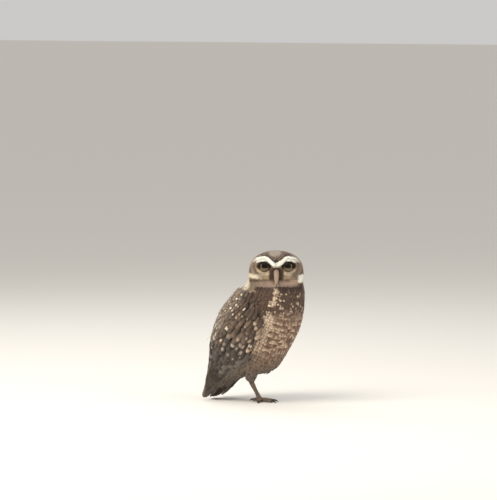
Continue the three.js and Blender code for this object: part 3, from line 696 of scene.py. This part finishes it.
barred = add_node(tree, "Math", TIMES, {0: bars, 1: amount.outputs["Y"]})
marked = add_node(tree, "Math", {"operation": "MAXIMUM"}, {0: spots, 1: barred})
coloured = add_node(tree, "Mix", {"data_type": "RGBA"}, {6: plume, 7: marks, 0: marked})
slant = add_node(tree, "Math", TIMES, {0: off_shaft, 1: BARB_SLANT})
barb_turn = add_node(tree, "Math", TIMES_PLUS, {0: at.outputs["Y"], 1: BARB_TURNS, 2: slant})
barb_line = add_node(tree, "Math", {"operation": "SINE"}, {0: barb_turn})
shaft = add_node(
    tree,
    "MapRange",
    SOFT,
    {"Value": off_shaft, "From Max": SHAFT_WIDE, "To Min": 1.0, "To Max": 0.0},
)
tip_light = add_node(
    tree,
    "MapRange",
    SOFT,
    {"Value": at.outputs["Y"], "From Min": 0.2, "To Min": 0.8, "To Max": 1.12},
)
shade = add_node(tree, "Math", TIMES_PLUS, {0: barb_line, 1: 0.05, 2: tip_light})
shade = add_node(tree, "Math", TIMES_PLUS, {0: shaft, 1: -0.15, 2: shade})
shaded = add_node(
    tree,
    "VectorMath",
    {"operation": "SCALE"},
    {"Vector": coloured.outputs[2], "Scale": shade},
)
ridges = add_node(tree, "Math", TIMES_PLUS, {0: barb_line, 1: 0.4, 2: shaft})
relief = add_node(tree, "Bump", links={"Height": ridges, "Strength": 0.35, "Distance": 0.00015})
finish_material(
    tree,
    {
        "Base Color": shaded,
        "Roughness": 0.85,
        "Sheen Weight": 0.1,
        "Sheen Roughness": 0.5,
        "Specular IOR Level": 0.2,
        "Normal": relief,
    },
)


def plant(name, roots, lies, lengths, widths, rises, unwrap, slot, seed, thickness=0.22):
    """Feathers rooted on the skin, each running along its lie."""
    plans = zip(roots, lies, lengths, rises)
    paths = [run_along(root, lie, length, rise) for root, lie, length, rise in plans]
    point, normal, lie = (np.array([[row[k] for row in path] for path in paths]) for k in range(3))
    looks = markings(point[:, 3], seed)
    piece = vane_mesh(name, (point, normal, lie), widths, ROUND_TIP, thickness, unwrap, looks)


# Body coat
# Contour feathers lie in brick rows from the neck down, each row's tips over the next row's roots. They are
# short and firm on neck and chest, longer and looser on the belly, and stop where the wing covers them.

CENTRELINE = 212  # length of the body's centreline


def body_rows(top, end, spacing, seed):
    """How far round and how far down the body the roots of brick rows of feathers are."""
    rng = np.random.default_rng(seed)
    arounds, downs = [], []
    down, row = top, 0
    while down < end:
        reach = section_at(np.array([down]))[3][0]
        gap = spacing(down)
        girth = 2 * math.pi * math.sqrt((reach[0] ** 2 + (reach[1] + reach[2]) ** 2 / 4) / 2)
        count = int(girth / (gap * 1.15))
        k = np.arange(count)
        arounds.append(360 * (k + 0.5 * (row % 2) + rng.uniform(-0.22, 0.22, count)) / count - 180)
        downs.append(down + rng.uniform(-0.14, 0.14, count) * gap / CENTRELINE)
        down += gap / CENTRELINE
        row += 1
    return np.concatenate(arounds), np.concatenate(downs)


def on_skin(arounds, downs):
    """The skin's points at places of the body, found from its centreline outwards, and which have one."""
    centre = section_at(downs)[0]
    ways = body_point(arounds, downs, 0.0) - centre
    rays = [(Vector(start), Vector(way).normalized()) for start, way in zip(centre, ways)]
    hits = [surface.ray_cast(start, way, 95)[0] for start, way in rays]
    found = np.array([hit is not None for hit in hits])
    return np.array([hit for hit in hits if hit is not None]), found


def unwrap_body(arounds, downs):
    return np.stack([np.clip((arounds + 180) / 360, 0.01, 0.99), np.clip(downs, 0.01, 0.99)], 1)


def body_gap(down):
    """Rows open from 2.5 mm apart on the neck to 3.5 mm on the belly."""
    return 2.5 + 1.0 * float(fade(down, 0.2, 0.5))


NECK_LINE = 161  # height where the head's coat takes over
FOOT_HOLLOW, HOLLOW_RADIUS = np.array([12.5, 1, 44]), 9
CHEST_LENGTH, LONGER_ON_BELLY, LONGER_ON_RUMP = 7.8, 3.4, 4

rng = np.random.default_rng(11)
turns, downs = body_rows(0.1, 0.85, body_gap, 21)
places, found = on_skin(turns, downs)
turns, downs = turns[found], downs[found]
along = section_at(downs)[2]
lies = along + rng.normal(0, 0.09, along.shape)
round_by = np.abs(turns)
under_wing = (round_by > wing_edge(downs) + 8) & (round_by < 166) & (downs > 0.19)
rump = (round_by > 138) & (downs > 0.6) & (downs < 0.77)
vent_middle = (round_by < 50) & (np.abs(places[:, 0]) < 19) & (downs < 0.785)
vent = (round_by < 70) & ((downs < 0.75) | vent_middle)
keep = (~under_wing | rump) & (places[:, 2] < NECK_LINE) & ((downs < 0.7) | vent | rump)
keep &= np.linalg.norm(places - FOOT_HOLLOW, axis=1) > HOLLOW_RADIUS
belly = fade(downs, 0.35, 0.55)
lengths = CHEST_LENGTH + LONGER_ON_BELLY * belly + LONGER_ON_RUMP * rump
lengths = lengths * rng.uniform(0.93, 1.07, len(places))
widths = lengths * rng.uniform(0.62, 0.78, len(places))
rises = np.stack([rng.uniform(0.1, 0.45, len(places)), 0.1 + 0.05 * belly], 1)
columns = (column[keep] for column in (places, lies, lengths, widths, rises))
plant("coat_body", *columns, unwrap_body(turns[keep], downs[keep]), "breast_feathers", 31)

# Wing coverts
# Scale-like coverts of firm barbs are rooted in the folded wing's skin, in rows that grow longer down the wing
# and lie over the roots of the flight feathers.


def form_paths(arounds, downs, lifts):
    """Paths over the body's own form for vanes: arrays of vane by step."""
    point = body_point(arounds, downs, lifts)
    onward = body_point(arounds, np.minimum(downs + 0.004, 1), lifts)
    ahead = onward - body_point(arounds, downs - 0.004, lifts)
    sideways = body_point(arounds + 1, downs, lifts) - body_point(arounds - 1, downs, lifts)
    normal = unit(np.cross(sideways, ahead))
    lie = unit(np.gradient(point, axis=1))
    outwards = np.sum(normal * (point - section_at(downs)[0]), axis=2, keepdims=True)
    return point, normal * np.sign(outwards), lie


def covert_gap(down):
    """Rows open from 4 mm apart at the shoulder to 6.6 mm low on the wing."""
    return 4.0 + 2.6 * float(fade(down, 0.2, 0.6))


SHORTEST_COVERT, LONGER_DOWN_WING = 9.5, 8.5
COVERT_WIDTH = 0.68  # of its length
LOOSE_TURN, LOOSE_DOWN, LOOSE_LIFT = 145, 0.53, 5  # one loose pale covert at the right wing's back edge

rng = np.random.default_rng(12)
turns, downs = body_rows(0.155, 0.66, covert_gap, 22)
for side, sign in (("right", -1), ("left", 1)):
    back_edge = 177 - 30 * (1 - fade(downs, 0.17, 0.36)) ** 1.5
    keep = (turns * sign > wing_edge(downs)) & (turns * sign < back_edge)
    turn, root = turns[keep] * sign, downs[keep]
    count = len(turn)
    lengths = (SHORTEST_COVERT + LONGER_DOWN_WING * fade(root, 0.2, 0.62)) * rng.uniform(0.92, 1.1, count)
    inner = np.minimum(fade(turn - wing_edge(root), -2, 14), fade(back_edge[keep] - turn, -2, 14))
    lift = 1.9 + 1.7 * inner + rng.uniform(-0.15, 0.15, count)
    share = root[:, None] + lengths[:, None] * STEPS / CENTRELINE
    drift = turn[:, None] + rng.normal(0, 1.2, count)[:, None] * STEPS
    lifts = lift[:, None] + (rng.uniform(1.1, 1.7, count)[:, None]) * STEPS
    loose = (side == "right") & (np.abs(turn - LOOSE_TURN) < 4) & (np.abs(root - LOOSE_DOWN) < 0.018)
    lifts += LOOSE_LIFT * loose[:, None] * STEPS**2
    paths = form_paths(sign * drift, share, lifts)
    widths = lengths * COVERT_WIDTH
    looks = markings(paths[0][:, 3], 41)
    looks[0][loose] = CREAM
    bake = unwrap_body(sign * turn, root)
    coverts = vane_mesh("coverts_" + side, paths, widths, ROUND_TIP, 0.3, bake, looks)
    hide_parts("wing_" + side)

# Flight feathers
# Secondaries close the wing's lower half and primaries run on to the wing tip: stiff vanes with pale bars, their
# quills set in the wing under the coverts. They lie over one another like a closed fan, the innermost on top.

LONG_STEPS = np.array([0, 0.12, 0.25, 0.4, 0.55, 0.7, 0.82, 0.91, 0.97, 1.0])
LONG_OUTLINE = np.array([0.5, 0.8, 0.95, 1.0, 1.0, 0.97, 0.9, 0.76, 0.5, 0.16])
PALE_BAR = linear("#7d6f60")


def flight_looks(count, base, seed, bars, strength):
    rng = np.random.default_rng(seed)
    colour = np.tile(base, (count, 1)) * rng.normal(1, 0.07, count)[:, None]
    marking = np.stack([np.zeros(count), np.full(count, strength), np.full(count, bars)], 1)
    return colour, np.tile(PALE_BAR, (count, 1)), marking, np.zeros((count, 3))


def long_vanes(name, paths, width, tilt, looks):
    """Stiff vanes, each tilted so that one edge slides under the next. Their bake strips lie side by side."""
    point, normal, lie = paths
    normal = unit(normal + np.cross(normal, lie) * tilt)
    count = len(point)
    unwrap = np.stack([(np.arange(count) + 0.5) / count, np.full(count, 0.5)], 1)
    strip = np.array([0.8 / count, 0.9])
    widths = np.full(count, width)
    paths = (point, normal, lie)
    piece = vane_mesh(name, paths, widths, LONG_OUTLINE, 0.45, unwrap, looks, LONG_STEPS, strip)
    return piece


SECONDARIES, PRIMARIES = 11, 9
SECONDARY_ROOT, SECONDARY_END = 0.54, 0.815  # shares of the way down the body
PRIMARY_ROOT, PRIMARY_END = 0.52, 0.983
SECONDARY_WIDTH, PRIMARY_WIDTH = 17, 13

for side, sign in (("right", -1), ("left", 1)):
    step = LONG_STEPS[None]
    rank = np.arange(SECONDARIES)[:, None] / (SECONDARIES - 1)
    turn = 82 + 78 * rank - 4 * rank * step
    share = SECONDARY_ROOT + (SECONDARY_END - 0.04 * rank - SECONDARY_ROOT) * step
    lift = 1.6 + 1.9 * step + 0.3 * ((SECONDARIES - 1) * rank % 2)
    looks = flight_looks(SECONDARIES, linear("#4f453d"), 51, 3.2, 0.55)
    paths = form_paths(sign * turn, share, lift)
    long_vanes("secondaries_" + side, paths, SECONDARY_WIDTH, 0.06 * sign, looks)
    rank = np.arange(PRIMARIES)[:, None]
    turn = 70 + 3.6 * rank + (6 + 2.2 * rank) * step
    share = PRIMARY_ROOT + (PRIMARY_END - 0.019 * rank - PRIMARY_ROOT) * step
    lift = 1.2 + 0.3 * rank + (0.5 + 0.2 * rank) * step
    looks = flight_looks(PRIMARIES, linear("#5f564d"), 52, 5.2, 0.4)
    paths = form_paths(sign * turn, share, lift)
    primaries = long_vanes("primaries_" + side, paths, PRIMARY_WIDTH, 0.08 * sign, looks)
    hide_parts("wing_" + side)

# Tail
# Twelve stiff feathers fan a little from their roots in the tail's skin, the middle pair on top. They are firm
# vanes like the wing's, brown with pale bars.

PAIRS = 6
TAIL_ROOT, TAIL_END = 0.63, 0.998  # shares of the way down the body
TAIL_WIDTH = 14

order = np.repeat(np.arange(PAIRS), 2)[:, None]
sign = np.tile([-1, 1], PAIRS)[:, None]
step = LONG_STEPS[None]
share = TAIL_ROOT + (TAIL_END - 0.004 * order**2 - TAIL_ROOT) * step
centre, breast, along, _ = section_at(share)
out = (0.8 + order) * (1 - step) + (1.6 + 2.6 * order) * step
beneath = (0.9 + 0.98 * order + 0.45 * (sign > 0))[..., None]
point = centre + breast * beneath * np.ones_like(step)[..., None]
point[..., 0] += sign * out
lie = unit(np.gradient(point, axis=1))
looks = flight_looks(2 * PAIRS, linear("#5f5449"), 53, 4.2, 0.5)
tail = long_vanes("tail_feathers", (point, -breast, lie), TAIL_WIDTH, 0.0, looks)
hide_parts("tail")

# Head coat
# Short soft feathers: on the crown they run back from the bill, and on the face they stand round each eye as a
# disc. White ones run outwards along the brows, and the cheeks' longer ones run down on to the neck.

COUNT = 10800  # places tried, spread evenly over a ball
LOWEST_WAY = -0.72  # height of the lowest of them on a ball of radius 1
COAT_END = 156.5
EYE_OUT, EYE_UP = 15.6, 7
BARE_RADIUS = 8.4  # of the socket, where no feather grows

rng = np.random.default_rng(13)
rank = np.arange(COUNT) + 0.5
polar = np.arccos(1 - 2 * rank / COUNT)
swing = math.pi * (1 + 5**0.5) * rank
ways = np.stack([np.cos(swing) * np.sin(polar), np.sin(swing) * np.sin(polar), np.cos(polar)], 1)
ways = ways[ways[:, 2] > LOWEST_WAY]
across, gaze = np.array(head_across), np.array(head_gaze)
ways = across * ways[:, :1] - gaze * ways[:, 1:2] + np.array([0, 0, 1]) * ways[:, 2:]
hits = [surface.ray_cast(Vector(HEAD_CENTRE), Vector(way), 70)[0] for way in ways]
places = np.array([hit for hit in hits if hit is not None])
placed = to_head(places)
wide, back, up = np.abs(placed[:, 0]), placed[:, 1], placed[:, 2]
facing = fade(-back, 2, 12)
from_eye = np.hypot(wide - EYE_OUT, up - EYE_UP)
on_bill = (wide < 3.4) & (up < 0.0) & (up > -16) & (back < 0)
keep = ((from_eye > BARE_RADIUS) | (back > -8)) & ~on_bill & (places[:, 2] > COAT_END)
keep &= (facing > 0.3) | (rng.random(len(places)) < 0.5)
columns = (places, placed, wide, up, facing, from_eye)
places, placed, wide, up, facing, from_eye = (column[keep] for column in columns)

# The lie of each feather, first in the head's own frame: across, backwards and up.
toward_side = np.sign(placed[:, 0])
zero, one = np.zeros(len(placed)), np.ones(len(placed))
radial = np.stack([toward_side * (wide - EYE_OUT), zero, up - EYE_UP], 1)
beside_bill = np.stack([toward_side * (2 + 0.15 * wide), zero, -5 * one], 1)
radial = unit(np.where((wide < 12)[:, None] & (up < 6)[:, None], beside_bill, radial))
brow_gap = up - brow_height(wide)
brow = near(brow_gap, 0, 2.7, 4.2) * facing
slope = brow_height(wide + 1) - brow_height(np.maximum(wide - 1, 0))
outward = np.stack([toward_side, 0.2 * one, 0.5 * slope], 1)
upward = np.stack([0.02 * placed[:, 0], 0.3 * one, one], 1)
topside = fade(up, -2, 12)[:, None]
backwards = np.stack([0.02 * placed[:, 0], one, 0.1 * one], 1)
downwards = np.stack([0.01 * placed[:, 0], 0.35 * one, -one], 1)
rear = backwards * topside + downwards * (1 - topside)
front = np.where((brow_gap > 0)[:, None], upward, radial)
front = front * (1 - brow[:, None]) + outward * brow[:, None]
lie = front * facing[:, None] + rear * (1 - facing[:, None])
lie += rng.normal(0, 0.12, lie.shape)
lies = across * lie[:, :1] - gaze * lie[:, 1:2] + np.array([0, 0, 1.0]) * lie[:, 2:]

near_eye = 1 - fade(from_eye, 9, 14)
longer_at_nape = 2.5 * (1 - fade(up, -20, -12)) * (1 - facing)
lengths = 6.2 - 2.0 * facing - 1.1 * near_eye * facing + longer_at_nape
lengths = lengths * rng.uniform(0.85, 1.15, len(places)) + 1.4 * brow
widths = lengths * np.where(facing > 0.5, 0.42, 0.55)
rises = np.stack([rng.uniform(0.1, 0.35, len(places)), 0.12 + 0.03 * facing], 1)
bearing = np.arctan2(placed[:, 0], -placed[:, 1])
unwrap = np.stack([bearing / (2 * math.pi) + 0.5, np.clip((up + 30) / 62, 0.01, 0.99)], 1)
plant("coat_head", places, lies, lengths, widths, rises, unwrap, "head_feathers", 61, thickness=0.16)

# Eyes
# Each eye is a glossy ball set deep in its socket, in a rim of bare blackish skin. The dark upper lid slopes down
# towards the bill and half covers it, and the lower lid is downy.

EYE_RADIUS = 7.6
EYE_SPLAY = math.radians(8)
PUPIL_INWARD, PUPIL_UP = 0.16, 0.09  # how far the pupil looks from straight ahead
RIM_AHEAD, RIM_RADIUS, RIM_THICKNESS = 4.3, 6.6, 0.5
LID_SLOPE = math.radians(16)
LID_THICKNESS = 0.5

# Eye: a black pupil and a dull olive-brown iris in painted shade, dark at its rim, under a clear, wet, glossy
# cornea.
eye_glass, tree = new_material("eye_cornea")
chart = add_node(tree, "Attribute", {"attribute_name": "from_pupil"})
bands = add_node(tree, "ValToRGB", links={"Fac": chart.outputs["Fac"]})
pupil = [(0.0, "#050302"), (0.5, "#070403")]
# Painted shade: the iris, yellow in life, is darkened to olive-brown for the shade of the brow and lids.
iris = [(0.55, "#3d2f1a"), (0.64, "#6e5c3a"), (0.76, "#5c4a2e"), (0.86, "#150d08")]
for stop, colour in iris:
    bands.color_ramp.elements.new(stop)
for element, (stop, colour) in zip(bands.color_ramp.elements, pupil + iris):
    element.position = stop
    element.color = (*linear(colour), 1)
finish_material(tree, {"Base Color": bands, "Roughness": 0.12, "Specular IOR Level": 0.25, "IOR": 1.38})

# Lid skin: thin bare skin, nearly black, with a dull gloss.
lid_skin, tree = new_material("lid_skin")
finish_material(tree, {"Base Color": (*linear("#1a100a"), 1), "Roughness": 0.7, "Specular IOR Level": 0.15})

# Lid down: the lower lid's short olive-buff down, dull, with the hairs drawn at 0.6 mm.
lid_down, tree = new_material("lid_down")
place = add_node(tree, "TexCoord")
fluff = add_node(tree, "TexNoise", links={"Vector": place.outputs["Object"], "Scale": 1600.0})
bands = add_node(tree, "ValToRGB", links={"Fac": fluff})
bands.color_ramp.elements[0].color = (*linear("#4d3f2c"), 1)
bands.color_ramp.elements[1].color = (*linear("#8f7d60"), 1)
relief = add_node(tree, "Bump", links={"Height": fluff, "Strength": 0.6, "Distance": 0.0004})
finish_material(tree, {"Base Color": bands, "Roughness": 0.95, "Normal": relief})

for side, sign in (("right", -1), ("left", 1)):
    middle = eye_places[side]
    gaze_way = head_gaze * math.cos(EYE_SPLAY) + head_across * (sign * math.sin(EYE_SPLAY))
    turn = gaze_way.to_track_quat("Z", "Y").to_euler()
    pupil_way = gaze_way - head_across * (sign * PUPIL_INWARD) + Vector((0, 0, PUPIL_UP))
    pupil_way = pupil_way.normalized()
    pupil_turn = pupil_way.to_track_quat("Z", "Y").to_euler()
    bpy.ops.mesh.primitive_uv_sphere_add(
        segments=48, ring_count=32, radius=EYE_RADIUS * MM, location=middle, rotation=pupil_turn
    )
    ball = bpy.context.active_object
    bpy.ops.object.transform_apply(location=True, rotation=True, scale=True)
    bpy.ops.object.shade_smooth()
    ball.name = ball.data.name = "eyeball_" + side
    ways = [vertex.co - middle for vertex in ball.data.vertices]
    off_axis = [math.sqrt(max(0.0, 1 - (way.normalized().dot(pupil_way)) ** 2)) for way in ways]
    from_pupil = [off if way.dot(pupil_way) > 0 else 1.0 for off, way in zip(off_axis, ways)]
    level = ball.data.attributes.new("from_pupil", "FLOAT", "POINT")
    level.data.foreach_set("value", from_pupil)
    ball.data.materials.append(eye_glass)
    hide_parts("eye_" + side)
    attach(ball, "root")

    bpy.ops.mesh.primitive_torus_add(
        location=middle + gaze_way * RIM_AHEAD * MM,
        rotation=turn,
        major_segments=48,
        minor_segments=10,
        major_radius=RIM_RADIUS * MM,
        minor_radius=RIM_THICKNESS * MM,
    )
    rim = bpy.context.active_object
    rim.name = rim.data.name = "lid_rim_" + side
    bpy.ops.object.transform_apply(location=True, rotation=True, scale=True)
    rim.data.materials.append(lid_skin)
    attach(rim, "root")

    lid_up = Vector((0, 0, 1)) * math.cos(LID_SLOPE) - head_across * (sign * math.sin(LID_SLOPE))
    for name, way, height, radius, skin_of in (
        # name, side of the eye, distance of the lid's edge from the eye's middle, radius, material
        ("upper_lid_", lid_up, 1.9, 8.45, lid_skin),
        ("lower_lid_", Vector((0, 0, -1)), 2.8, 8.3, lid_down),
    ):
        bpy.ops.mesh.primitive_uv_sphere_add(
            segments=48, ring_count=32, radius=radius * MM, location=middle, rotation=turn
        )
        lid = bpy.context.active_object
        bpy.ops.object.transform_apply(location=True, rotation=True, scale=True)
        bpy.ops.object.mode_set(mode="EDIT")
        bpy.ops.mesh.select_all(action="SELECT")
        bpy.ops.mesh.bisect(
            plane_co=middle + way * height * MM,
            plane_no=way,
            clear_inner=True,
            clear_outer=False,
            use_fill=False,
        )
        bpy.ops.object.mode_set(mode="OBJECT")
        wall = lid.modifiers.new("wall", "SOLIDIFY")
        wall.thickness, wall.offset = LID_THICKNESS * MM, -1
        bpy.ops.object.modifier_apply(modifier="wall")
        bpy.ops.object.shade_smooth()
        lid.name = lid.data.name = name + side
        lid.data.materials.append(skin_of)
        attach(lid, "root")

# Bill
# A short hooked bill of horn over bone, growing from between the eyes in two halves that meet in a line. It is
# greyish pink at the base and paler at the tip.

BILL_TIP, BILL_BASE = 0.166, 0.182  # heights in metres

# Bill horn: smooth, fine-grained keratin with a low gloss. Its cloudy grain is drawn at 2.4 mm.
horn, tree = new_material("bill_horn")
place = add_node(tree, "TexCoord")
where_on = add_node(tree, "SeparateXYZ", links={"Vector": place.outputs["Object"]})
height = add_node(
    tree,
    "MapRange",
    SOFT,
    {"Value": where_on.outputs["Z"], "From Min": BILL_TIP, "From Max": BILL_BASE, "To Max": 0.75},
)
grain = add_node(tree, "TexNoise", links={"Vector": place.outputs["Object"], "Scale": 420.0})
tone = add_node(tree, "Math", TIMES_PLUS, {0: grain, 1: 0.25, 2: height})
bands = add_node(tree, "ValToRGB", links={"Fac": tone})
bands.color_ramp.elements[0].color = (*linear("#a8927c"), 1)
bands.color_ramp.elements[1].color = (*linear("#8f7868"), 1)
relief = add_node(tree, "Bump", links={"Height": grain, "Strength": 0.15, "Distance": 0.0003})
finish_material(tree, {"Base Color": bands, "Roughness": 0.38, "Normal": relief})
for node in ("bill_upper", "bill_lower"):
    half = copy_of([node], node + "_horn")
    fuse(half, voxel=0.32 * MM, rounds=4)
    half = keep_largest(half)
    half.data.materials.append(horn)
    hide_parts(node)
    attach(half, "root")

# Legs, feet and claws
# Long bare shanks and toes of bone and sinew in brownish-grey scaly skin, the left foot drawn up to the belly.
# The claws are curved sheaths of dark horn over the toes' last bones.

# Scaly leg skin: tough keratin scutes with dark seams, dull and rough. The scutes are drawn at 1.3 mm.
leg_skin, tree = new_material("scaly_leg_skin")
place = add_node(tree, "TexCoord")
scutes = add_node(
    tree,
    "TexVoronoi",
    {"feature": "DISTANCE_TO_EDGE"},
    {"Vector": place.outputs["Object"], "Scale": 750.0},
)
plate = add_node(tree, "MapRange", SOFT, {"Value": scutes, "From Max": 0.25})
bands = add_node(tree, "ValToRGB", links={"Fac": plate})
bands.color_ramp.elements[0].color = (*linear("#4c3d30"), 1)
bands.color_ramp.elements[1].color = (*linear("#8b7863"), 1)
relief = add_node(tree, "Bump", links={"Height": plate, "Strength": 0.7, "Distance": 0.0003})
finish_material(tree, {"Base Color": bands, "Roughness": 0.7, "Normal": relief})

# Claw horn: hard, nearly black keratin with a low gloss.
claw_horn, tree = new_material("claw_horn")
finish_material(tree, {"Base Color": (*linear("#1d1714"), 1), "Roughness": 0.35})

for side in ("right", "left"):
    foot = copy_of(["tarsus_" + side, "foot_" + side], "foot_skin_" + side)
    fuse(foot, voxel=0.42 * MM, rounds=3)
    foot = keep_largest(foot)
    foot.data.materials.append(leg_skin)
    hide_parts("tarsus_" + side, "foot_" + side)
    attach(foot, "root")
for node in [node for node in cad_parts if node.startswith("claw_")]:
    claw = copy_of([node], node + "_horn")
    fuse(claw, voxel=0.2 * MM, rounds=3)
    claw = keep_largest(claw)
    claw.data.materials.append(claw_horn)
    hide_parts(node)
    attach(claw, "root")
